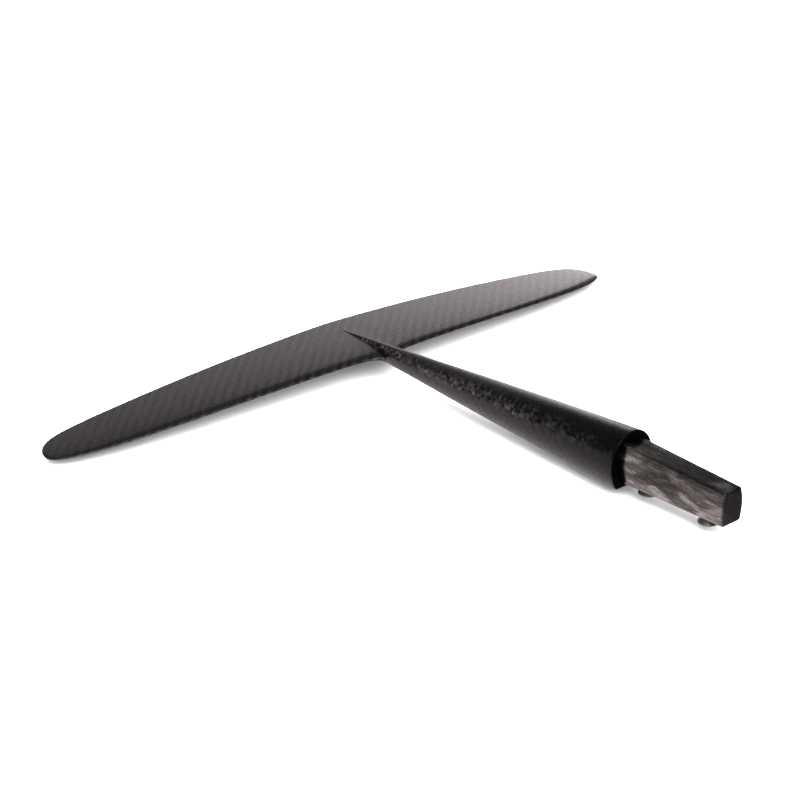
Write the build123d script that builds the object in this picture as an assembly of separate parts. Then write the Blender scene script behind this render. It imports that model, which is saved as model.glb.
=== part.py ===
from build123d import *
import os
from math import cos, radians, sin, sqrt

# A carbon hydrofoil tail wing, moulded in one with its tapering fuselage.
# Millimetres. The origin is on the shoulder, where the tenon comes out of the fuselage, in the
# middle of the flat underside. +X is the right tip, -Y the way it travels, +Z up.

# Wing outline, seen from above
half_span = 225.0            # middle to tip
tip_y = 256.4                # the tips' outermost points, aft of the shoulder
leading_reach = 37.3         # leading edge at the root, ahead of the tip points
leading_sweep = 9.2          # how much of that reach is lost towards the tips
leading_round = 3.24         # power of the curve that turns the leading edge into the tip
trailing_reach = 22.9        # trailing edge at the root, behind the tip points
trailing_bow = 4.2           # how much of that reach is lost towards the tips
trailing_round = 23.8        # a high power: the trailing edge stays straight up to the tip
root_flare = 10.6            # the leading edge runs forward into the fuselage
flare_width = 5.0            # distance from the middle where half of that flare is gone
tip_flat = 0.45              # the moulding's blunt end, short of the true tip point

# Wing section
section_form = (0.2969, -0.126, -0.3516, 0.2843, -0.1036)   # four-digit form: root, then powers
thickness_ratio = 0.095      # thickest part, as a share of the chord
trailing_wall = 1.0          # thickness of the trailing edge
leading_height = 2.3         # leading edge above the underside, at the root
trailing_height = 3.5        # trailing edge above the underside: the wing points slightly down
anhedral_drop = 15.3         # the tips hang this far below the root

# Fuselage
shoulder_width = 32.0
shoulder_height = 33.3
underside_width = 22.8       # the flat strip below, at the shoulder
belly_height = 15.4          # where the section is widest
tail_y = 266.0               # the taper closes here
tail_crest = 4.9             # the crest's height where the taper closes, just inside the wing
crest_bow = 3.4              # the crest bulges above a straight taper
taper_power = 1.25           # above 1 the sides are slightly barrelled
tail_rise_y = 226.0          # the underside rises into the wing aft of here
tail_rise = 2.6
corner_cut = 1.1             # rounding of the two lower edges, at the shoulder
rim_round = 0.8              # rounding of the shoulder's outer edge

# Tenon, bonded into the shoulder
tenon_length = 74.5          # in front of the shoulder
socket_depth = 60.0          # inside the fuselage
bond_gap = 0.1               # glue line
mouth_chamfer = 0.8
tenon_corner = 1.6           # rounding along the tenon's four long edges
end_chamfer = 1.2
free_end = dict(top_width=12.8, waist_width=16.4, foot_width=13.4, foot=6.4, top=26.9)
at_shoulder = dict(top_width=14.4, waist_width=20.6, foot_width=14.6, foot=3.2, top=27.3)
bonded_end = dict(top_width=11.6, waist_width=15.6, foot_width=11.6, foot=5.0, top=24.0)

# Screws and their thread inserts, from below
front_screw_inset = 16.3     # from the tenon's free end
rear_screw_inset = 13.8      # from the shoulder
backed_off = dict(front=1.0, rear=0.0)   # the front screw isn't driven home
screw_radius = 3.0
thread_clearance = 0.05
head_radius = 6.0
head_rim = 0.5
shank_length = 13.0
hex_flats = 4.0
hex_depth = 2.2
insert_radius = 4.5
insert_length = 12.0
insert_recess = 0.2
insert_clearance = 0.02
end_space = 1.0              # beyond the screw's point

# How finely the curves are followed
nose_share = 0.03            # the curve round the leading edge takes this share of the chord
nose_points = 3              # on each side of the leading edge
face_points = 5              # along the upper and the lower face of a section
face_bias = 1.4              # above 1 they stand closer together near the nose
wing_stations = (                        # shares of the half span
    0, 0.016, 0.033, 0.053, 0.08, 0.12, 0.19, 0.29, 0.42, 0.55,
    0.67, 0.765, 0.845, 0.902, 0.942, 0.969, 0.984, 0.9935,
)
fuselage_stations = (                    # shares of the taper
    0, 0.08, 0.18, 0.3, 0.42, 0.54, 0.66, 0.77, 0.87, 0.94, 0.985,
)
flank_shares = (0.45, 0.75)              # points between foot and waist
arch_angles = (0, 22.5, 45, 67.5, 90)    # points from waist to crest
rim_steps = ((0, 1), (0.3, 0.3), (1, 0))  # the rim's rounding: share aft, share inwards
tenon_bays = 6                           # each taper of the tenon is lofted in short bays

screw_y = dict(front=front_screw_inset - tenon_length, rear=-rear_screw_inset)


def smooth_edge(points, start, end):
    """A curve through the points, with the given directions at its ends."""
    steps = [i / (len(points) - 1) for i in range(len(points))]
    return Edge.make_spline(points, tangents=[start, end], parameters=steps)


def wing_edges(x):
    """Leading and trailing edge at distance x from the middle: their y."""
    s = abs(x) / half_span
    lead = (leading_reach - leading_sweep * s) * sqrt(1 - s**leading_round)
    flare = root_flare / (1 + (x / flare_width) ** 2)
    trail = (trailing_reach - trailing_bow * (1 - (1 - s) ** 2)) * sqrt(1 - s**trailing_round)
    return tip_y - lead - flare, tip_y + trail


def half_thickness(f, chord):
    """Half the section's thickness at a share f of the chord."""
    root, *powers = section_form
    form = root * sqrt(f) + sum(w * f**n for n, w in enumerate(powers, 1))
    return 5 * thickness_ratio * chord * form + trailing_wall / 2 * f


def thickness_slope(f, chord):
    """How fast the half thickness grows with f."""
    root, *powers = section_form
    form = root / (2 * sqrt(f)) + sum(n * w * f ** (n - 1) for n, w in enumerate(powers, 1))
    return 5 * thickness_ratio * chord * form + trailing_wall / 2


def wing_section(x):
    """A symmetrical section with a blunt trailing edge, standing in the plane of constant x."""
    y_lead, y_trail = wing_edges(x)
    chord = y_trail - y_lead
    pitch = (trailing_height - leading_height) / (leading_reach + trailing_reach)
    z_lead = leading_height + pitch * (y_lead - tip_y + leading_reach)
    z_lead -= anhedral_drop * (x / half_span) ** 2

    def point(f, side):
        z = z_lead + pitch * chord * f + side * half_thickness(f, chord)
        return Vector(x, y_lead + chord * f, z)

    def aft(f, side):
        return Vector(0, chord, pitch * chord + side * thickness_slope(f, chord))

    shares = [(i / face_points) ** face_bias for i in range(face_points + 1)]
    shares = [nose_share + (1 - nose_share) * f for f in shares]
    round_nose = [nose_share * (i / nose_points) ** 2 for i in range(nose_points, 0, -1)]
    nose = [point(f, 1) for f in round_nose] + [point(0, 1)] + [point(f, -1) for f in round_nose[::-1]]
    upper = [point(f, 1) for f in shares[::-1]]
    lower = [point(f, -1) for f in shares]
    return Wire(
        [
            smooth_edge(upper, -aft(1, 1), -aft(nose_share, 1)),
            smooth_edge(nose, -aft(nose_share, 1), aft(nose_share, -1)),
            smooth_edge(lower, aft(nose_share, -1), aft(1, -1)),
            Edge.make_line(lower[-1], upper[0]),
        ]
    )


def make_wing():
    stations = [half_span * s for s in wing_stations] + [half_span - tip_flat]
    right = Solid.make_loft([wing_section(x) for x in stations], ruled=True)
    return right + right.mirror(Plane.YZ)


def fuselage_section(y, inset=0.0):
    """An arch on a flat foot with rounded lower edges, at distance y aft of the shoulder."""
    t = y / tail_y
    taper = 1 - t**taper_power
    half = 0.5 * shoulder_width * taper - inset
    foot = 0.5 * underside_width * taper - inset
    rise = max(0.0, (y - tail_rise_y) / (tail_y - tail_rise_y))
    low = tail_rise * rise**2 + inset
    crest = shoulder_height + (tail_crest - shoulder_height) * t + crest_bow * t * (1 - t) - inset
    waist = low + (crest - low) * belly_height / shoulder_height
    cut = corner_cut * taper
    # the flank leans out in a parabola from the foot to the waist, then closes in an ellipse
    lean = Vector(2 * (half - foot), 0, waist - low).normalized()
    flank = [Vector(foot, y, low) + lean * cut]
    for f in (*flank_shares, 1):
        flank.append(Vector(half - (half - foot) * (1 - f) ** 2, y, low + (waist - low) * f))
    arch = []
    for angle in arch_angles:
        turn = radians(angle)
        arch.append(Vector(half * cos(turn), y, waist + (crest - waist) * sin(turn)))
    up, across = Vector(0, 0, 1), Vector(-1, 0, 0)
    foot_line = Edge.make_line((cut - foot, y, low), (foot - cut, y, low))
    right = [
        Edge.make_tangent_arc(foot_line @ 1, -across, flank[0]),
        smooth_edge(flank, lean, up),
        smooth_edge(arch, up, across),
    ]
    return Wire([foot_line, *right, *[edge.mirror(Plane.YZ) for edge in right[::-1]]])


def make_fuselage():
    """The long taper, with a short rounded step to the shoulder's end face."""
    length = tail_y - rim_round
    stations = [rim_round + t * length for t in fuselage_stations]
    taper = Solid.make_loft([fuselage_section(y) for y in stations], ruled=True)
    rim = [fuselage_section(back * rim_round, inwards * rim_round) for back, inwards in rim_steps]
    return taper + Solid.make_loft(rim, ruled=True)


def tenon_section(y, size, grow=0.0):
    """Flat top and foot, barrelled flanks and rounded corners, in the plane of constant y."""
    top, foot = size["top"] + grow, size["foot"] - grow
    half_top = size["top_width"] / 2 + grow
    half_foot = size["foot_width"] / 2 + grow
    half_waist = size["waist_width"] / 2 + grow
    waist = (top + foot) / 2
    plane = Plane(origin=(0, y, 0), x_dir=(1, 0, 0), z_dir=(0, -1, 0))
    right = ThreePointArc((half_top, top), (half_waist, waist), (half_foot, foot))
    left = ThreePointArc((-half_foot, foot), (-half_waist, waist), (-half_top, top))
    face = make_face([Line((-half_top, top), (half_top, top)), right, Line(right @ 1, left @ 0), left])
    face = fillet(face.vertices(), tenon_corner)
    return (plane * face).face().outer_wire()


def tenon_taper(y, size, grow):
    """A straight taper from the shoulder's section to another one at y."""
    sections = []
    for bay in range(tenon_bays + 1):
        t = bay / tenon_bays
        between = {side: start + t * (size[side] - start) for side, start in at_shoulder.items()}
        sections.append(tenon_section(t * y, between, grow))
    return Solid.make_loft(sections, ruled=True)


def tenon_bar(grow=0.0, front=True):
    """The whole tenon, or with front false only what lies inside the fuselage."""
    inner = tenon_taper(socket_depth + grow, bonded_end, grow)
    return tenon_taper(-tenon_length, free_end, grow) + inner if front else inner


def foot_height(y):
    """The tenon's underside at y, in front of the shoulder."""
    share = -y / tenon_length
    return at_shoulder["foot"] + (free_end["foot"] - at_shoulder["foot"]) * share


def make_moulding():
    body = make_fuselage() + make_wing() - tenon_bar(bond_gap, front=False)
    shoulder = body.faces().filter_by(Plane.XZ).sort_by(Axis.Y)[0]
    return chamfer(shoulder.inner_wires()[0].edges(), mouth_chamfer)


def make_tenon():
    bar = tenon_bar()
    end = bar.faces().sort_by(Axis.Y)[0]
    bar = chamfer(end.edges(), end_chamfer)
    hung = (Align.CENTER, Align.CENTER, Align.MAX)
    for y in screw_y.values():
        top = foot_height(y) + insert_recess + insert_length
        bar -= Pos(0, y, top) * Cylinder(insert_radius + insert_clearance, top, align=hung)
        end = top - insert_length + shank_length + end_space
        bar -= Pos(0, y, end) * Cylinder(screw_radius + thread_clearance, end, align=hung)
    return bar


def hex_recess(at):
    """The driver's socket, cut upwards into the head's flat face."""
    return at * extrude(RegularPolygon(hex_flats / 2, 6, major_radius=False), hex_depth)


def make_screw(y, lowered):
    """A countersunk screw, head down, whose cone stops at the insert's mouth when driven home."""
    seat = foot_height(y) + insert_recess - insert_clearance - lowered
    flat = seat - (head_radius - screw_radius) - head_rim
    profile = Polyline(
        (0, flat),
        (head_radius, flat),
        (head_radius, flat + head_rim),
        (screw_radius, seat),
        (screw_radius, seat + shank_length),
        (0, seat + shank_length),
        close=True,
    )
    blank = revolve(Plane.XZ * make_face(profile), Axis.Z)
    return Pos(0, y, 0) * (blank - hex_recess(Pos(0, 0, flat)))


def make_insert(y):
    """A plain sleeve whose bore takes the screw's thread."""
    mouth = foot_height(y) + insert_recess
    base = (Align.CENTER, Align.CENTER, Align.MIN)
    sleeve = Cylinder(insert_radius, insert_length, align=base)
    bore = Cylinder(screw_radius + thread_clearance, insert_length, align=base)
    return Pos(0, y, mouth) * (sleeve - bore)


os.makedirs("parts", exist_ok=True)
export_step(make_moulding(), "parts/wing_and_fuselage.step")
export_step(make_tenon(), "parts/tenon.step")
for place, y in screw_y.items():
    export_step(make_screw(y, backed_off[place]), f"parts/screw_{place}.step")
    export_step(make_insert(y), f"parts/thread_insert_{place}.step")
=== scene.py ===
import bmesh
import bpy
import math
from mathutils import Matrix, Vector


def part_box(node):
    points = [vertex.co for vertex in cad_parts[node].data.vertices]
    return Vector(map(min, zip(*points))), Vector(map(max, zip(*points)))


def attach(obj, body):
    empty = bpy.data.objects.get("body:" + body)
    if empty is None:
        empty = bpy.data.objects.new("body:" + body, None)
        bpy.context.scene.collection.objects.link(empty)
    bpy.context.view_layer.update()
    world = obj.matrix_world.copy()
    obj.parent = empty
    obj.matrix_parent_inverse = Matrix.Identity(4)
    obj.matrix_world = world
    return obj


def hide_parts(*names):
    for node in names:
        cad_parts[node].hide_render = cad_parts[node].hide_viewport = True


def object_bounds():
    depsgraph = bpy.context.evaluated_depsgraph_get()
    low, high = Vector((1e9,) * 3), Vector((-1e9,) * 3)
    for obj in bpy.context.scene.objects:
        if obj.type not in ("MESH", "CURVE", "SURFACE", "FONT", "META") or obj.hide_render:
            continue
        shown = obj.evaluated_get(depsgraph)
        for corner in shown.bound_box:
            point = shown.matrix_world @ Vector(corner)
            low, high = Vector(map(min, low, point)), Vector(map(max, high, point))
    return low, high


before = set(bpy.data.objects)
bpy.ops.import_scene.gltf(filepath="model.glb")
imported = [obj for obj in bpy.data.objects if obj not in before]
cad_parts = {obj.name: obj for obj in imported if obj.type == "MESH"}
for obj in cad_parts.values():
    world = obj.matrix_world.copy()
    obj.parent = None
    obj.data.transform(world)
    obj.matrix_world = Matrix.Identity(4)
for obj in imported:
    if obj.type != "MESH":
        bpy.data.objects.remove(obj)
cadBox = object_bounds()
scene = bpy.context.scene
mm = 0.001
weld = 0.02 * mm  # points that lie closer than this are one
mathNode, vectorMath = "ShaderNodeMath", "ShaderNodeVectorMath"
mixNode, rangeNode = "ShaderNodeMix", "ShaderNodeMapRange"
noiseNode, bumpNode = "ShaderNodeTexNoise", "ShaderNodeBump"
splitNode, joinNode = "ShaderNodeSeparateXYZ", "ShaderNodeCombineXYZ"
meanColour = (0.5, 0.5, 0.5)  # a noise's colour less this is a vector round zero
print("frame loaded:", len(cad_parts), "nodes")


def linear(hexColour):
    # an sRGB hex colour as the linear one that a shader reads
    parts = [int(hexColour[i:i + 2], 16) / 255 for i in (1, 3, 5)]
    return [c / 12.92 if c <= 0.04045 else ((c + 0.055) / 1.055) ** 2.4 for c in parts] + [1.0]


def repeats(size):
    # how often a pattern of this size, in millimetres, comes in a metre
    return 1 / (size * mm)


def addNode(tree, kind, feeds=(), **settings):
    # feeds are sockets, nodes or values: a list in the node's order, or a dictionary by socket name
    node = tree.nodes.new(kind)
    for key, value in settings.items():
        setattr(node, key, value)
    shown = [s for s in node.inputs if s.enabled]
    pairs = [(node.inputs[k], v) for k, v in feeds.items()] if isinstance(feeds, dict) else zip(shown, feeds)
    for socket, value in pairs:
        if isinstance(value, bpy.types.Node):
            value = next(s for s in value.outputs if s.enabled)
        if isinstance(value, bpy.types.NodeSocket):
            tree.links.new(value, socket)
        else:
            socket.default_value = value
    return node


def keepShape(piece):
    # what the modifiers make becomes the piece's plain mesh
    bpy.context.view_layer.update()
    seen = piece.evaluated_get(bpy.context.evaluated_depsgraph_get())
    piece.data = bpy.data.meshes.new_from_object(seen)
    piece.modifiers.clear()


def bakeTree(name, tree, values):
    # runs a geometry tree on a new object
    piece = bpy.data.objects.new(name, bpy.data.meshes.new(name))
    scene.collection.objects.link(piece)
    modifier = piece.modifiers.new("rule", "NODES")
    modifier.node_group = tree
    for item in tree.interface.items_tree:
        if item.in_out == "INPUT" and item.name in values:
            modifier[item.identifier] = values[item.name]
    keepShape(piece)
    return piece


def closeMesh(piece, gap=weld):
    # merges what meets and turns every face outwards
    work = bmesh.new()
    work.from_mesh(piece.data)
    bmesh.ops.remove_doubles(work, verts=work.verts, dist=gap)
    bmesh.ops.dissolve_degenerate(work, edges=work.edges, dist=gap / 10)
    bmesh.ops.recalc_face_normals(work, faces=work.faces)
    work.to_mesh(piece.data)
    work.free()


def applyBoolean(piece, other, operation):
    # joins or cuts with another closed piece, which is then gone
    modifier = piece.modifiers.new("join", "BOOLEAN")
    modifier.solver = "EXACT"
    modifier.operation = operation
    modifier.material_mode = "TRANSFER"
    modifier.object = other
    keepShape(piece)
    bpy.data.objects.remove(other)


# camera, at the photograph's angle: degrees, and millimetres from the part
camera = dict(
    lens=90, azimuth=-39.488, elevation=25.737, distance=1211.3, target=(-32.58, 163.2, 1.48), seesTo=50000,
)


def placeCamera():
    azimuth, elevation = math.radians(camera["azimuth"]), math.radians(camera["elevation"])
    level = math.cos(elevation)
    back = Vector((math.sin(azimuth) * level, -math.cos(azimuth) * level, math.sin(elevation)))
    right = Vector((math.cos(azimuth), math.sin(azimuth), 0))
    made = bpy.data.objects.new("photoView", bpy.data.cameras.new("photoView"))
    made.data.lens = camera["lens"]
    made.data.clip_end = camera["seesTo"] * mm
    turned = Matrix((right, back.cross(right), back)).transposed().to_4x4()
    at = (Vector(camera["target"]) + back * camera["distance"]) * mm
    made.matrix_world = Matrix.Translation(at) @ turned
    scene.collection.objects.link(made)
    scene.camera = made


placeCamera()
print("camera placed")


# wing: the same rule as the solid's, in millimetres, followed closely enough to shine smoothly
wing = dict(
    halfSpan=cadBox[1][0] / mm, tipPlace=256.4,
    leadingReach=37.3, leadingSweep=9.2, leadingRound=3.24,
    trailingReach=22.9, trailingBow=4.2, trailingRound=23.8,
    rootFlare=10.6, flareWidth=5.0, thickness=0.095, edgeWall=1.0,
    leadingHeight=2.3, trailingHeight=3.5, tipDrop=15.3, spanRows=561, roundRows=91,
)
# four-digit section: at a share of the chord, half the thickness is scale times the whole one, times the sum
# of root times the share's square root and the share's powers, fourth to first
section = dict(scale=5.0, root=0.2969, powers=(-0.1036, 0.2843, -0.3516, -0.126))


def tipRounding(tree, share, power):
    # 1 along most of the span, and 0 at the tip: the higher the power, the squarer the tip
    power = addNode(tree, mathNode, [share, power], operation="POWER")
    left = addNode(tree, mathNode, [1.0, power], operation="SUBTRACT", use_clamp=True)
    return addNode(tree, mathNode, [left], operation="SQRT")


def wingPlan(tree, size, x, share):
    # leading edge: swept, rounded off at the tip, and flared forward where the fuselage is
    lost = addNode(tree, mathNode, [size["leadingSweep"], share], operation="MULTIPLY")
    reach = addNode(tree, mathNode, [size["leadingReach"], lost], operation="SUBTRACT")
    rounded = tipRounding(tree, share, size["leadingRound"])
    lead = addNode(tree, mathNode, [reach, rounded], operation="MULTIPLY")
    apart = addNode(tree, mathNode, [x, size["flareWidth"]], operation="DIVIDE")
    apart = addNode(tree, mathNode, [apart, apart, 1.0], operation="MULTIPLY_ADD")
    flare = addNode(tree, mathNode, [size["rootFlare"], apart], operation="DIVIDE")
    front = addNode(tree, mathNode, [size["tipPlace"], lead], operation="SUBTRACT")
    front = addNode(tree, mathNode, [front, flare], operation="SUBTRACT")

    # trailing edge: slightly bowed, with a squarer tip
    rest = addNode(tree, mathNode, [1.0, share], operation="SUBTRACT")
    rest = addNode(tree, mathNode, [rest, 2.0], operation="POWER")
    bow = addNode(tree, mathNode, [1.0, rest], operation="SUBTRACT")
    bow = addNode(tree, mathNode, [size["trailingBow"], bow], operation="MULTIPLY")
    reach = addNode(tree, mathNode, [size["trailingReach"], bow], operation="SUBTRACT")
    square = tipRounding(tree, share, size["trailingRound"])
    trail = addNode(tree, mathNode, [reach, square], operation="MULTIPLY")
    rear = addNode(tree, mathNode, [size["tipPlace"], trail], operation="ADD")
    chord = addNode(tree, mathNode, [rear, front], operation="SUBTRACT")
    return front, chord, square


def wingSection(tree, size, way, chord, square):
    # from the nose, where way is 0, to both trailing corners: the outermost rows close the blunt edge
    away = addNode(tree, mathNode, [way], operation="ABSOLUTE")
    step = addNode(tree, mathNode, [2.0, size["roundRows"]], operation="DIVIDE")
    inner = addNode(tree, mathNode, [1.0, step], operation="SUBTRACT")
    root = addNode(tree, mathNode, [away, inner], operation="DIVIDE", use_clamp=True)
    corner = addNode(tree, mathNode, [step, -0.5, 1.0], operation="MULTIPLY_ADD")
    isOpen = addNode(tree, mathNode, [away, corner], operation="LESS_THAN")
    along = addNode(tree, mathNode, [root, root], operation="MULTIPLY")

    # half the thickness there, which the blunt edge's wall joins
    form = section["powers"][0]
    for factor in (*section["powers"][1:], 0.0):
        form = addNode(tree, mathNode, [form, along, factor], operation="MULTIPLY_ADD")
    form = addNode(tree, mathNode, [root, section["root"], form], operation="MULTIPLY_ADD")
    thick = addNode(tree, mathNode, [size["thickness"], section["scale"]], operation="MULTIPLY")
    thick = addNode(tree, mathNode, [thick, chord], operation="MULTIPLY")
    wall = addNode(tree, mathNode, [size["edgeWall"], 0.5], operation="MULTIPLY")
    for share in (square, along):
        wall = addNode(tree, mathNode, [wall, share], operation="MULTIPLY")
    half = addNode(tree, mathNode, [thick, form, wall], operation="MULTIPLY_ADD")
    side = addNode(tree, mathNode, [way], operation="SIGN")
    side = addNode(tree, mathNode, [side, isOpen], operation="MULTIPLY")
    return along, addNode(tree, mathNode, [half, side], operation="MULTIPLY")


def wingTree():
    # bends a grid: its x runs tip to tip, its y from the lower trailing corner round the nose to the upper
    tree = bpy.data.node_groups.new("wingRule", "GeometryNodeTree")
    tree.interface.new_socket("Geometry", in_out="OUTPUT", socket_type="NodeSocketGeometry")
    for name in wing:
        kind = "NodeSocketInt" if name.endswith("Rows") else "NodeSocketFloat"
        tree.interface.new_socket(name, in_out="INPUT", socket_type=kind)
    tree.interface.new_socket("finish", in_out="INPUT", socket_type="NodeSocketMaterial")
    size = addNode(tree, "NodeGroupInput").outputs
    grid = addNode(tree, "GeometryNodeMeshGrid", [2.0, 2.0, size["spanRows"], size["roundRows"]])
    place = addNode(tree, splitNode, [addNode(tree, "GeometryNodeInputPosition")])

    # along the span, closer together at the tips
    turn = addNode(tree, mathNode, [place.outputs["X"], math.pi / 2], operation="MULTIPLY")
    signedShare = addNode(tree, mathNode, [turn], operation="SINE")
    x = addNode(tree, mathNode, [signedShare, size["halfSpan"]], operation="MULTIPLY")
    share = addNode(tree, mathNode, [signedShare], operation="ABSOLUTE")
    front, chord, square = wingPlan(tree, size, x, share)
    along, half = wingSection(tree, size, place.outputs["Y"], chord, square)
    y = addNode(tree, mathNode, [chord, along, front], operation="MULTIPLY_ADD")

    # height: the trailing edge lies a little higher than the leading one, and the tips hang
    rise = addNode(tree, mathNode, [size["trailingHeight"], size["leadingHeight"]], operation="SUBTRACT")
    length = addNode(tree, mathNode, [size["leadingReach"], size["trailingReach"]], operation="ADD")
    pitch = addNode(tree, mathNode, [rise, length], operation="DIVIDE")
    behind = addNode(tree, mathNode, [y, size["tipPlace"]], operation="SUBTRACT")
    behind = addNode(tree, mathNode, [behind, size["leadingReach"]], operation="ADD")
    z = addNode(tree, mathNode, [pitch, behind, size["leadingHeight"]], operation="MULTIPLY_ADD")
    drop = addNode(tree, mathNode, [share, share], operation="MULTIPLY")
    drop = addNode(tree, mathNode, [drop, size["tipDrop"]], operation="MULTIPLY")
    z = addNode(tree, mathNode, [z, drop], operation="SUBTRACT")
    z = addNode(tree, mathNode, [z, half], operation="ADD")

    point = addNode(tree, vectorMath, [addNode(tree, joinNode, [x, y, z]), mm], operation="SCALE")
    shaped = addNode(tree, "GeometryNodeSetPosition", {"Geometry": grid, "Position": point})
    merged = addNode(tree, "GeometryNodeMergeByDistance", {"Geometry": shaped, "Distance": weld})
    solid = addNode(tree, "GeometryNodeRealizeInstances", [merged])
    finished = addNode(tree, "GeometryNodeSetMaterial", {"Geometry": solid, "Material": size["finish"]})
    addNode(tree, "NodeGroupOutput", [finished])
    return tree


# fuselage: an arch on a flat foot, tapering into the wing
fuselage = dict(
    width=32.0, height=33.3, footWidth=22.8, belly=15.4, tailPlace=266.0, lastShare=0.985,
    tailCrest=4.9, crestBow=3.4, taperPower=1.25, tailRisePlace=226.0, tailRise=2.6,
    cornerCut=1.1, rimRound=0.8, rings=150, rimRings=7, cornerSteps=6, flankSteps=16, archSteps=26,
)
# socket: the tenon's barrelled outline, at the shoulder and at its bonded end, and a gap round it
socket = dict(
    atShoulder=dict(topWidth=14.4, waistWidth=20.6, footWidth=14.6, foot=3.2, top=27.3),
    atEnd=dict(topWidth=11.6, waistWidth=15.6, footWidth=11.6, foot=5.0, top=24.0),
    depth=60.1, gap=0.1, chamfer=0.8, standOut=1.0, cornerRound=1.7, arcSteps=12, cornerSteps=6,
)


def fuselageRing(y, inset=0.0):
    # the outline at y, in metres: foot, rounded corner, flank and arch, then the same mirrored
    share = y / fuselage["tailPlace"]
    taper = 1 - share ** fuselage["taperPower"]
    half = fuselage["width"] / 2 * taper - inset
    foot = fuselage["footWidth"] / 2 * taper - inset
    rise = max(0.0, (y - fuselage["tailRisePlace"]) / (fuselage["tailPlace"] - fuselage["tailRisePlace"]))
    low = fuselage["tailRise"] * rise**2 + inset
    crest = fuselage["height"] + (fuselage["tailCrest"] - fuselage["height"]) * share
    crest += fuselage["crestBow"] * share * (1 - share) - inset
    waist = low + (crest - low) * fuselage["belly"] / fuselage["height"]
    cut = fuselage["cornerCut"] * taper
    lean = Vector((2 * (half - foot), waist - low)).normalized() * cut
    side = [Vector((0, low))]
    for i in range(fuselage["cornerSteps"] + 1):
        t = i / fuselage["cornerSteps"]
        side.append(Vector((foot - cut * (1 - t) ** 2, low)) + lean * t**2)
    first = lean.y / (waist - low)
    for i in range(1, fuselage["flankSteps"] + 1):
        t = first + (1 - first) * i / fuselage["flankSteps"]
        side.append(Vector((half - (half - foot) * (1 - t) ** 2, low + (waist - low) * t)))
    for i in range(1, fuselage["archSteps"] + 1):
        turn = math.pi / 2 * i / fuselage["archSteps"]
        side.append(Vector((half * math.cos(turn), waist + (crest - waist) * math.sin(turn))))
    ring = side[:-1] + [Vector((0, crest))] + [Vector((-p.x, p.y)) for p in side[-2:0:-1]]
    return [(p.x * mm, y * mm, p.y * mm) for p in ring]


def socketRing(y, size, grow):
    # the tenon's outline at y, in metres, larger by grow all round
    top, foot = size["top"] + grow, size["foot"] - grow
    topHalf, waistHalf, footHalf = (size[name] / 2 + grow for name in ("topWidth", "waistWidth", "footWidth"))
    bulge = waistHalf - (topHalf + footHalf) / 2
    rounding = (socket["cornerRound"] + grow) / (top - foot)
    flank = []
    for i in range(socket["arcSteps"] + 1):
        t = rounding + (1 - 2 * rounding) * i / socket["arcSteps"]
        wide = topHalf + (footHalf - topHalf) * t + bulge * 4 * t * (1 - t)
        flank.append(Vector((wide, top + (foot - top) * t)))
    corners = []
    for corner, last in ((Vector((topHalf, top)), flank[0]), (Vector((footHalf, foot)), flank[-1])):
        first = corner - Vector((socket["cornerRound"] + grow, 0))
        steps = [i / socket["cornerSteps"] for i in range(socket["cornerSteps"])]
        corners.append([first * (1 - t) ** 2 + corner * 2 * t * (1 - t) + last * t**2 for t in steps])
    outline = corners[0] + flank + corners[1][::-1]
    outline += [Vector((-p.x, p.y)) for p in outline[::-1]]
    return [(p.x * mm, y * mm, p.y * mm) for p in outline]


def skinRings(name, rings, finish):
    # closed shell through rings that have as many points each
    count = len(rings[0])
    faces = [tuple(range(count))]
    for i in range(len(rings) - 1):
        for j in range(count):
            k = (j + 1) % count
            faces.append((i * count + j, (i + 1) * count + j, (i + 1) * count + k, i * count + k))
    faces.append(tuple(range((len(rings) - 1) * count, len(rings) * count)))
    mesh = bpy.data.meshes.new(name)
    mesh.from_pydata([p for ring in rings for p in ring], [], faces)
    mesh.materials.append(finish)
    piece = bpy.data.objects.new(name, mesh)
    scene.collection.objects.link(piece)
    closeMesh(piece)
    return piece


def makeFuselage(finish):
    # rings round the shoulder's edge, then on to where the tail has sunk into the wing
    rim = fuselage["rimRound"]
    rings = []
    for i in range(fuselage["rimRings"]):
        turn = math.pi / 2 * i / fuselage["rimRings"]
        rings.append(fuselageRing(rim * (1 - math.cos(turn)), rim * (1 - math.sin(turn))))
    reach = fuselage["lastShare"] * (fuselage["tailPlace"] - rim)
    rings += [fuselageRing(rim + reach * i / fuselage["rings"]) for i in range(fuselage["rings"] + 1)]
    return skinRings("fuselage", rings, finish)


def makeSocket(finish):
    # the cutter: it stands out of the shoulder, narrows over the chamfer, and then follows the tenon
    gap, cut, out = socket["gap"], socket["chamfer"], socket["standOut"]
    rings = [
        socketRing(-out, socket["atShoulder"], gap + cut + out),
        socketRing(0.0, socket["atShoulder"], gap + cut),
        socketRing(cut, socket["atShoulder"], gap),
        socketRing(socket["depth"], socket["atEnd"], gap),
    ]
    return skinRings("socketShape", rings, finish)


def newMaterial(name):
    # an empty material, its tree, and the place on the piece that its patterns read
    material = bpy.data.materials.new(name)
    material.use_nodes = True
    tree = material.node_tree
    tree.nodes.clear()
    return material, tree, addNode(tree, "ShaderNodeTexCoord").outputs["Object"]


def stirred(tree, place, size, reach, detail):
    # shifts a place by up to half of reach, in patches of the given size, both in millimetres
    shift = addNode(tree, noiseNode, [place, repeats(size), detail]).outputs["Color"]
    shift = addNode(tree, vectorMath, [shift, meanColour], operation="SUBTRACT")
    shift = addNode(tree, vectorMath, [shift, reach * mm], operation="SCALE")
    return addNode(tree, vectorMath, [place, shift], operation="ADD").outputs["Vector"]


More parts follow.
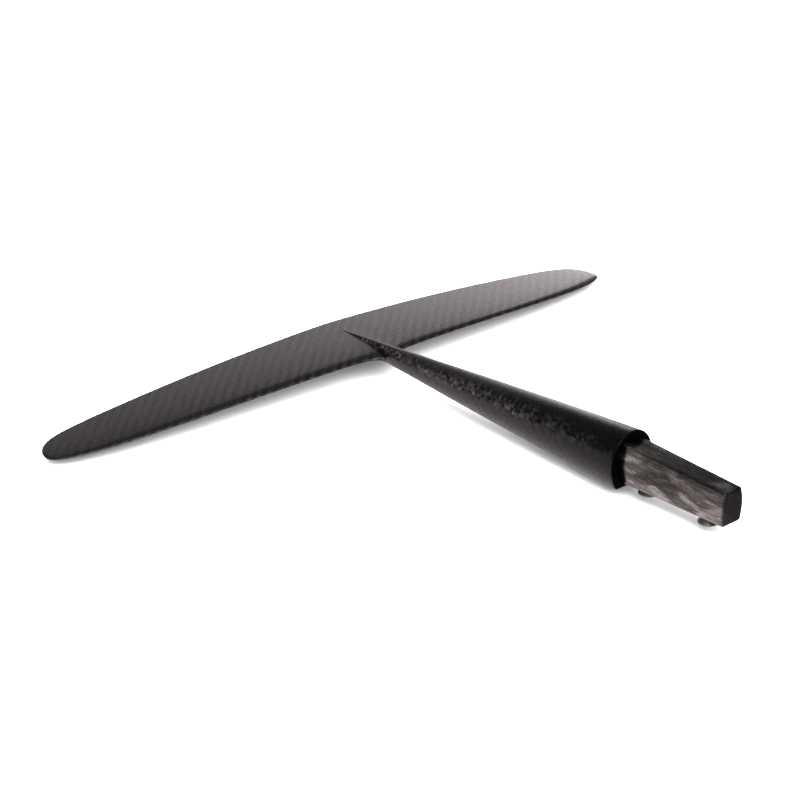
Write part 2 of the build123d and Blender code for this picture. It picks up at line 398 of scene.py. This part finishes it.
# carbon twill: each tow passes over two and under two, under a clear coat; sizes in millimetres
cloth = dict(
    tow=2.1, over=2, alongRound=0.6, acrossRound=0.5, fibreWidth=0.12, fibreLength=6.0,
    # the warp's colour is drawn lighter than the weft's: painted sheen and shade for how the two fibre
    # directions catch light
    stray=2.4, strayLength=13.0, strayDetail=1.0, warpPaintedSheenColour="#4a4647", weftPaintedShadeColour="#2c2a2b", anisotropy=0.6,
    baseShade=0.6, heightShade=0.2, streakShade=0.2, ownShade=0.2,
    ribShare=0.62, resinPatch=17.0, patchLevels=(0.35, 0.65), bandShares=(0.1, 1.5),
)
flatFinish = dict(
    roughness=0.28, coatRoughness=0.15, coatIor=1.5, relief=0.07, printThrough=0.01, tilt=0.05, bands=1.3,
)
wrappedFinish = dict(
    roughness=0.14, coatRoughness=0.24, coatIor=1.34, relief=0.09, printThrough=0.006, tilt=0.05, bands=0.6,
)
# on the fuselage: tones from the shoulder over reach, then painted shade by how far the surface faces up,
# then the overlap with its painted highlight
wrapping = dict(
    reach=120.0, atShoulder=0.1, atTail=1.05, shadeFacingFrom=0.36, shadeFacingTo=0.66, paintedUpperShade=0.4,
    lapFacing=0.46, lapWidth=0.42, lapAtShoulder=0.25, lapTilt=0.9, lapSkin=0.7, lapPaintedHighlight=2.4, lapRarity=2.0,
)


def twillGroup():
    # from a place on the cloth: which tow lies on top and its height, fibres, band, own value and tilt
    tree = bpy.data.node_groups.new("twillCloth", "ShaderNodeTree")
    tree.interface.new_socket("Place", in_out="INPUT", socket_type="NodeSocketVector")
    for name in ("Warp", "Height", "Streak", "Rib", "Own"):
        tree.interface.new_socket(name, in_out="OUTPUT", socket_type="NodeSocketFloat")
    tree.interface.new_socket("Tilt", in_out="OUTPUT", socket_type="NodeSocketVector")

    # the cloth never lies quite straight
    place = addNode(tree, "NodeGroupInput").outputs["Place"]
    place = stirred(tree, place, cloth["strayLength"], cloth["stray"], cloth["strayDetail"])
    cells = addNode(tree, vectorMath, [place, repeats(cloth["tow"])], operation="SCALE")
    cells = addNode(tree, splitNode, [cells])
    column, row = (addNode(tree, mathNode, [cells.outputs[n]], operation="FLOOR") for n in "XY")
    inColumn, inRow = (addNode(tree, mathNode, [cells.outputs[n]], operation="FRACT") for n in "XY")
    cell = addNode(tree, joinNode, [column, row])
    own = addNode(tree, "ShaderNodeTexWhiteNoise", [cell], noise_dimensions="2D")
    tilt = addNode(tree, vectorMath, [own.outputs["Color"], meanColour], operation="SUBTRACT")

    # bands, and the warp tow on top in half the cells
    over = cloth["over"]
    turn = math.pi / over
    slant = addNode(tree, mathNode, [cells.outputs["X"], cells.outputs["Y"]], operation="SUBTRACT")
    slant = addNode(tree, mathNode, [slant, turn, -turn / 2], operation="MULTIPLY_ADD")
    rib = addNode(tree, mathNode, [slant], operation="COSINE")
    rib = addNode(tree, mathNode, [rib, 0.5, 0.5], operation="MULTIPLY_ADD")
    phase = addNode(tree, mathNode, [column, row], operation="SUBTRACT")
    phase = addNode(tree, mathNode, [phase, 2 * over], operation="FLOORED_MODULO")
    warp = addNode(tree, mathNode, [phase, over - 0.5], operation="LESS_THAN")

    # along the top tow, from where it comes up to where it goes down, and across it
    alongWarp = addNode(tree, mathNode, [phase, inRow], operation="SUBTRACT")
    alongWarp = addNode(tree, mathNode, [alongWarp, 1.0], operation="ADD")
    alongWeft = addNode(tree, mathNode, [phase, inColumn], operation="ADD")
    alongWeft = addNode(tree, mathNode, [alongWeft, -over], operation="ADD")
    along = addNode(tree, mixNode, [warp, alongWeft, alongWarp])
    across = addNode(tree, mixNode, [warp, inRow, inColumn])
    arches = []
    for way, scale, power in ((along, turn, cloth["alongRound"]), (across, math.pi, cloth["acrossRound"])):
        arch = addNode(tree, mathNode, [way, scale], operation="MULTIPLY")
        arch = addNode(tree, mathNode, [arch], operation="SINE")
        arches.append(addNode(tree, mathNode, [arch, power], operation="POWER"))
    height = addNode(tree, mathNode, arches, operation="MULTIPLY")

    # fibres: noise drawn out along the top tow
    fine, coarse = repeats(cloth["fibreWidth"]), repeats(cloth["fibreLength"])
    alongX = addNode(tree, vectorMath, [place, (coarse, fine, 0)], operation="MULTIPLY")
    alongY = addNode(tree, vectorMath, [place, (fine, coarse, 0)], operation="MULTIPLY")
    drawn = addNode(tree, mixNode, [warp, alongX, alongY], data_type="VECTOR")
    streak = addNode(tree, noiseNode, [drawn, 1.0])
    addNode(tree, "NodeGroupOutput", [warp, height, streak, rib, own, tilt])
    return tree


def wrappedPlace(tree, where):
    # on cloth wrapped round the fuselage, x is the way round: the angle times the radius there
    spot = addNode(tree, splitNode, [where])
    tail = fuselage["tailPlace"] * mm
    share = addNode(tree, mathNode, [spot.outputs["Y"], tail], operation="DIVIDE", use_clamp=True)
    taper = addNode(tree, mathNode, [share, fuselage["taperPower"]], operation="POWER")
    taper = addNode(tree, mathNode, [1.0, taper], operation="SUBTRACT")
    radius = addNode(tree, mathNode, [taper, fuselage["width"] / 2 * mm], operation="MULTIPLY")
    middle = addNode(tree, mathNode, [spot.outputs["Z"], radius], operation="SUBTRACT")
    angle = addNode(tree, mathNode, [spot.outputs["X"], middle], operation="ARCTAN2")
    wrapped = addNode(tree, mathNode, [angle, radius], operation="MULTIPLY")
    return addNode(tree, joinNode, [wrapped, spot.outputs["Y"], 0.0])


def wrapShade(tree, wrap, shade, own, facing, where):
    # the cloth's two edges overlap along the side, where single tows tilt and are drawn lighter as a painted
    # highlight, less at the shoulder
    rise = addNode(tree, splitNode, [facing]).outputs["Z"]
    along = addNode(tree, splitNode, [where]).outputs["Y"]
    reach = wrap["reach"] * mm
    strength = addNode(tree, rangeNode, [along, 0.0, reach, wrap["lapAtShoulder"], 1.0])
    lap = addNode(tree, mathNode, [rise, wrap["lapFacing"]], operation="SUBTRACT")
    lap = addNode(tree, mathNode, [lap], operation="ABSOLUTE")
    lap = addNode(tree, rangeNode, [lap, 0.0, wrap["lapWidth"], strength, 0.0])

    # painted shade on cloth that faces up, and darker towards the shoulder
    deep = addNode(tree, rangeNode, [along, 0.0, reach, wrap["atShoulder"], wrap["atTail"]])
    paintedShadeOnTop = addNode(tree, rangeNode, [rise, wrap["shadeFacingFrom"], wrap["shadeFacingTo"], 1.0, wrap["paintedUpperShade"]])
    shade = addNode(tree, mathNode, [shade, deep], operation="MULTIPLY")
    shade = addNode(tree, mathNode, [shade, paintedShadeOnTop], operation="MULTIPLY")
    # painted highlight: single tows in the overlap drawn lighter
    paintedGlints = addNode(tree, mathNode, [own, wrap["lapRarity"]], operation="POWER")
    paintedGlints = addNode(tree, mathNode, [paintedGlints, lap], operation="MULTIPLY")
    return addNode(tree, mathNode, [paintedGlints, wrap["lapPaintedHighlight"], shade], operation="MULTIPLY_ADD"), lap


def leanNormal(tree, normal, tilt, amount):
    # tips a normal by each tow's own tilt
    lean = addNode(tree, vectorMath, [tilt, amount], operation="SCALE")
    lean = addNode(tree, vectorMath, [normal, lean], operation="ADD")
    return addNode(tree, vectorMath, [lean], operation="NORMALIZE")


def twillMaterial(name, group, finish, wrap=None):
    # dark tows that flash as their direction turns, the warp painted lighter than the weft as a painted
    # sheen, under a clear coat that follows them faintly
    material, tree, where = newMaterial(name)
    place = wrappedPlace(tree, where) if wrap else where
    weave = addNode(tree, "ShaderNodeGroup", {"Place": place}, node_tree=group)
    warp, height, streak, rib, own, tilt = weave.outputs

    # the bands show less where the resin lies thick
    patch = addNode(tree, noiseNode, [where, repeats(cloth["resinPatch"])])
    least, most = (share * finish["bands"] for share in cloth["bandShares"])
    shown = addNode(tree, rangeNode, [patch, *cloth["patchLevels"], least, most])
    band = addNode(tree, mixNode, [cloth["ribShare"], warp, rib])
    band = addNode(tree, mathNode, [band, 0.5], operation="SUBTRACT")
    band = addNode(tree, mathNode, [band, shown, 0.5], operation="MULTIPLY_ADD")
    # the tows' own dark tone, with the warp painted lighter and the weft painted darker for how each catches
    # light
    colours = [linear(cloth["weftPaintedShadeColour"]), linear(cloth["warpPaintedSheenColour"])]
    tone = addNode(tree, mixNode, [band, *colours], data_type="RGBA")
    # shade: painted shade where each tow dives under the next, with fibre streaks and each tow's own random
    # tone
    shade = cloth["baseShade"]
    for part, share in ((height, "heightShade"), (streak, "streakShade"), (own, "ownShade")):
        shade = addNode(tree, mathNode, [part, cloth[share], shade], operation="MULTIPLY_ADD")

    # every tow lies at a slightly different tilt, so a reflection breaks up where it ends
    facing = addNode(tree, "ShaderNodeNewGeometry").outputs["Normal"]
    bump = addNode(tree, bumpNode, {"Distance": finish["relief"] * mm, "Height": height})
    skin = addNode(tree, bumpNode, {"Distance": finish["printThrough"] * mm, "Height": height})
    towTilt = finish["tilt"]
    if wrap:
        # at the overlap the tows tilt more and are drawn lighter as a painted highlight, and the clear coat
        # follows them
        shade, lap = wrapShade(tree, wrap, shade, own, facing, where)
        towTilt = addNode(tree, mathNode, [lap, wrap["lapTilt"], towTilt], operation="MULTIPLY_ADD")
        skinTilt = addNode(tree, mathNode, [lap, wrap["lapSkin"]], operation="MULTIPLY")
        skin = leanNormal(tree, skin, tilt, skinTilt)
    colour = addNode(tree, vectorMath, [tone, shade], operation="SCALE")

    # a fibre spreads light across itself
    lengthways = (0.0, 1.0, 0.0)
    sideways = addNode(tree, vectorMath, [facing, lengthways], operation="CROSS_PRODUCT")
    spread = addNode(tree, mixNode, [warp, lengthways, sideways], data_type="VECTOR")
    shader = addNode(tree, "ShaderNodeBsdfPrincipled", {
        "Base Color": colour, "Metallic": 1.0, "Roughness": finish["roughness"],
        "Normal": leanNormal(tree, bump, tilt, towTilt),
        "Anisotropic": cloth["anisotropy"], "Tangent": spread, "Coat Weight": 1.0,
        "Coat Roughness": finish["coatRoughness"], "Coat IOR": finish["coatIor"], "Coat Normal": skin})
    addNode(tree, "ShaderNodeOutputMaterial", {"Surface": shader})
    return material


def grainedMaterial(name, values):
    # two close tones and a slight relief, both from one noise
    material, tree, where = newMaterial(name)
    grain = addNode(tree, noiseNode, [where, repeats(values["grain"]), values["detail"]])
    tone = addNode(tree, mixNode, [grain, *map(linear, values["colours"])], data_type="RGBA")
    bump = addNode(tree, bumpNode, {
        "Strength": values["bump"], "Distance": values["relief"] * mm, "Height": grain})
    shader = addNode(tree, "ShaderNodeBsdfPrincipled", {
        "Base Color": tone, "Normal": bump, **values["surface"]})
    addNode(tree, "ShaderNodeOutputMaterial", {"Surface": shader})
    return material


# black epoxy over the cut end and in the socket: deep black, nearly without shine, uneven from the brush
resin = dict(
    grain=3.33333, detail=3.0, colours=("#000001", "#020202"), bump=0.3, relief=0.05,
    surface={"Roughness": 0.3, "Specular IOR Level": 0.01},
)
# moulding: how much of the rounded rim the resin covers, and the angle from which an edge stays crisp
moulding = dict(rimShare=0.4, crispAngle=28.0)


def makeMoulding():
    # wing and fuselage become one shell, and then the socket is cut into it
    group = twillGroup()
    wingCloth = twillMaterial("carbonTwillLaidFlat", group, flatFinish)
    fuselageCloth = twillMaterial("carbonTwillWrapped", group, wrappedFinish, wrapping)
    coating = grainedMaterial("blackEpoxyFlowCoat", resin)
    piece = bakeTree("wingAndFuselage", wingTree(), dict(wing, finish=wingCloth))
    closeMesh(piece)
    applyBoolean(piece, makeFuselage(fuselageCloth), "UNION")
    applyBoolean(piece, makeSocket(coating), "DIFFERENCE")
    coated = [m.name if m else "" for m in piece.data.materials].index(coating.name)
    for face in piece.data.polygons:
        if face.center.y < moulding["rimShare"] * fuselage["rimRound"] * mm:
            face.material_index = coated
    closeMesh(piece, weld / 10)  # finer, so that the seam keeps its own points
    piece.data.shade_smooth()
    piece.data.set_sharp_from_angle(angle=math.radians(moulding["crispAngle"]))
    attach(piece, "root")
    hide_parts("wing_and_fuselage")
    return piece


wingAndFuselage = makeMoulding()
print("moulding made", [round(v / mm, 2) for v in wingAndFuselage.dimensions])


# tenon: forged carbon, chopped tows pressed in resin; sizes in millimetres, angles in radians
forged = dict(
    flakeLength=15.0, flakeWidth=5.0, flakeLean=0.35, flakeBlur=0.6,
    stir=6.0, stirLength=16.6667, stirDetail=3.0,
    fibreLength=5.0, fibreWidth=0.35, fibreTurn=1.6, fibreDetail=3.0, tearLength=12.5, tearWidth=1.42857,
    baseLevel=-0.06, flakeLevel=0.32, fibreLevel=0.5, tearLevel=0.4,
    tones=((0.35, "#272523"), (0.46, "#575350"), (0.57, "#7d7773"), (0.74, "#cfcac6")),
    endTone=0.12, endDepth=1.5, bump=0.5, relief=0.1, roughness=0.2, coatRoughness=0.06, coatIor=1.45,
)


def alongBar(width, length):
    # the scale that draws a pattern out along the tenon, to this width and length in millimetres
    return repeats(width), repeats(length), repeats(width)


def forgedMaterial():
    # clear resin over flakes: each has its own fibre direction and its own shade
    material, tree, where = newMaterial("forgedCarbon")
    moved = stirred(tree, where, forged["stirLength"], forged["stir"], forged["stirDetail"])
    flakes = addNode(tree, "ShaderNodeMapping", {
        "Vector": moved, "Rotation": (forged["flakeLean"], 0.0, 0.0),
        "Scale": alongBar(forged["flakeWidth"], forged["flakeLength"])})
    cells = addNode(tree, "ShaderNodeTexVoronoi", {
        "Vector": flakes, "Scale": 1.0, "Smoothness": forged["flakeBlur"]}, feature="SMOOTH_F1")
    cell = addNode(tree, "ShaderNodeSeparateColor", [cells.outputs["Color"]])

    # fibres run each flake's own way, and tears run along the bar
    angle = addNode(tree, mathNode, [cell.outputs["Green"], 0.5], operation="SUBTRACT")
    angle = addNode(tree, mathNode, [angle, forged["fibreTurn"]], operation="MULTIPLY")
    turned = {"Vector": where, "Angle": angle}
    turned = addNode(tree, "ShaderNodeVectorRotate", turned, rotation_type="X_AXIS")
    fibres = addNode(tree, "ShaderNodeMapping", {
        "Vector": turned, "Scale": alongBar(forged["fibreWidth"], forged["fibreLength"])})
    fibres = addNode(tree, noiseNode, [fibres, 1.0, forged["fibreDetail"]])
    tears = addNode(tree, "ShaderNodeMapping", {
        "Vector": moved, "Scale": alongBar(forged["tearWidth"], forged["tearLength"])})
    tears = addNode(tree, noiseNode, [tears, 1.0])
    level = forged["baseLevel"]
    for part, share in ((cell, "flakeLevel"), (fibres, "fibreLevel"), (tears, "tearLevel")):
        level = addNode(tree, mathNode, [part, forged[share], level], operation="MULTIPLY_ADD")
    ramp = addNode(tree, "ShaderNodeValToRGB", [level])
    steps = ramp.color_ramp.elements
    first, *between, last = forged["tones"]
    for place, tone in between:
        steps.new(place).color = linear(tone)
    for step, (place, tone) in ((steps[0], first), (steps[-1], last)):
        step.position, step.color = place, linear(tone)

    # the sawn end shows the fibres' dark ends
    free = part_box("tenon")[0].y
    end = addNode(tree, splitNode, [where]).outputs["Y"]
    end = addNode(tree, rangeNode, [end, free, free + forged["endDepth"] * mm, forged["endTone"], 1.0])
    colour = addNode(tree, vectorMath, [ramp, end], operation="SCALE")
    bump = addNode(tree, bumpNode, {
        "Strength": forged["bump"], "Distance": forged["relief"] * mm, "Height": level})
    shader = addNode(tree, "ShaderNodeBsdfPrincipled", {
        "Base Color": colour, "Metallic": 1.0, "Roughness": forged["roughness"], "Normal": bump,
        "Coat Weight": end, "Coat Roughness": forged["coatRoughness"], "Coat IOR": forged["coatIor"]})
    addNode(tree, "ShaderNodeOutputMaterial", {"Surface": shader})
    return material


# turned stainless steel: bright, with a fine grain that keeps its reflections from looking glassy
steel = dict(
    grain=1.11111, detail=4.0, colours=("#85858a", "#b4b4b8"), bump=0.1, relief=0.02,
    surface={"Metallic": 1.0, "Roughness": 0.22},
)


def finishNodes():
    steelFinish = grainedMaterial("turnedStainlessSteel", steel)
    tenonFinish = forgedMaterial()
    for name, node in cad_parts.items():
        if name != "wing_and_fuselage":
            node.data.materials.clear()
            node.data.materials.append(tenonFinish if name == "tenon" else steelFinish)


finishNodes()
print("tenon and screws finished")


# floor: white paper a little below the part's feet, which softens the shadow; its grain is drawn coarse,
# and shiny faces see an even glow in its place
mirrorTint = "#fff6f9"
paper = dict(width=12000.0, drop=6.0, grain=2.5, colours=("#e9e9e9", "#ececec"), mirrored=0.6)
# card: stands low behind the part, for shiny faces only; its light grows from dimAt to brightAt, and fades at
# the top
litCard = dict(
    place=450.0, left=-200.0, right=486.0, bottom=-40.0, top=325.0, fade=45.0, topShare=0.2,
    dimAt=-453.0, brightAt=637.0, dim=0.28, growth=1.7, power=3.0,
)
# light: an even dome with a lobe high in front for matt faces, a dark room with a lit horizon for shiny ones
light = dict(
    dome=0.3, front=30.0, frontFocus=10.0, frontFrom=(-0.314, -0.591, 0.743),
    room=0.12, horizon=0.45, horizonTop=0.22,
)


def restPlane():
    # the part stands on its two tips and on the front screw's head
    tips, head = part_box("wing_and_fuselage")[0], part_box("screw_front")[0]
    tipPoint = Vector((0, wing["tipPlace"] * mm, tips.z))
    slope = (head.z - tipPoint.z) / (head.y - tipPoint.y)
    return tipPoint, math.atan(slope)


def makeSheet(name, corners, finish):
    # one flat face
    mesh = bpy.data.meshes.new(name)
    mesh.from_pydata(corners, [], [(0, 1, 2, 3)])
    mesh.materials.append(finish)
    sheet = bpy.data.objects.new(name, mesh)
    scene.collection.objects.link(sheet)
    return sheet


def makeFloor():
    material, tree, where = newMaterial("whitePaperSweep")
    grain = addNode(tree, noiseNode, [where, repeats(paper["grain"])])
    tone = addNode(tree, mixNode, [grain, *map(linear, paper["colours"])], data_type="RGBA")
    path = addNode(tree, "ShaderNodeLightPath")
    matt = addNode(tree, "ShaderNodeBsdfDiffuse", [tone])
    glow = addNode(tree, "ShaderNodeEmission", [linear(mirrorTint), paper["mirrored"]])
    surface = addNode(tree, "ShaderNodeMixShader", [path.outputs["Is Glossy Ray"], matt, glow])
    addNode(tree, "ShaderNodeOutputMaterial", {"Surface": surface})

    tipPoint, slope = restPlane()
    half = paper["width"] / 2 * mm
    corners = [(-half, -half, 0), (half, -half, 0), (half, half, 0), (-half, half, 0)]
    floor = makeSheet("studioFloor", corners, material)
    below = Vector((0, 0, paper["drop"] * mm))
    floor.matrix_world = Matrix.Translation(tipPoint - below) @ Matrix.Rotation(slope, 4, "X")


def makeCard():
    material, tree, where = newMaterial("litCard")
    left, right, bottom, top = (litCard[name] * mm for name in ("left", "right", "bottom", "top"))
    place, fadeFrom = litCard["place"] * mm, top - litCard["fade"] * mm
    spot = addNode(tree, splitNode, [where])
    across = addNode(tree, rangeNode, [spot.outputs["X"], litCard["dimAt"] * mm, litCard["brightAt"] * mm])
    across = addNode(tree, mathNode, [across, litCard["power"]], operation="POWER")
    across = addNode(tree, mathNode, [across, litCard["growth"], litCard["dim"]], operation="MULTIPLY_ADD")
    up = addNode(tree, rangeNode, [spot.outputs["Z"], fadeFrom, top, 1.0, litCard["topShare"]])
    level = addNode(tree, mathNode, [across, up], operation="MULTIPLY")
    glow = addNode(tree, "ShaderNodeEmission", [linear(mirrorTint), level])
    addNode(tree, "ShaderNodeOutputMaterial", {"Surface": glow})

    corners = [(left, place, bottom), (right, place, bottom), (right, place, top), (left, place, top)]
    card = makeSheet("litCard", corners, material)
    card.visible_camera = card.visible_diffuse = card.visible_shadow = False


def makeWorld():
    # level light for everything matt, a dark room for reflections, white for the eye
    world = bpy.data.worlds.new("studio")
    scene.world = world
    world.use_nodes = True
    tree = world.node_tree
    tree.nodes.clear()
    path = addNode(tree, "ShaderNodeLightPath")
    towards = addNode(tree, "ShaderNodeTexCoord").outputs["Object"]
    front = addNode(tree, vectorMath, [towards, light["frontFrom"]], operation="DOT_PRODUCT")
    front = addNode(tree, mathNode, [front, 0.0], operation="MAXIMUM")
    front = addNode(tree, mathNode, [front, light["frontFocus"]], operation="POWER")
    dome = addNode(tree, mathNode, [front, light["front"], light["dome"]], operation="MULTIPLY_ADD")
    rise = addNode(tree, splitNode, [towards]).outputs["Z"]
    room = addNode(tree, rangeNode, [rise, 0.0, light["horizonTop"], light["horizon"], light["room"]])
    level = addNode(tree, mixNode, [path.outputs["Is Glossy Ray"], dome, room])
    level = addNode(tree, mixNode, [path.outputs["Is Camera Ray"], level, 1.0])
    glow = addNode(tree, "ShaderNodeBackground", {"Color": (1, 1, 1, 1), "Strength": level})
    addNode(tree, "ShaderNodeOutputWorld", [glow])


makeFloor()
makeCard()
makeWorld()
scene.view_settings.view_transform = "Standard"
print("floor and light placed")
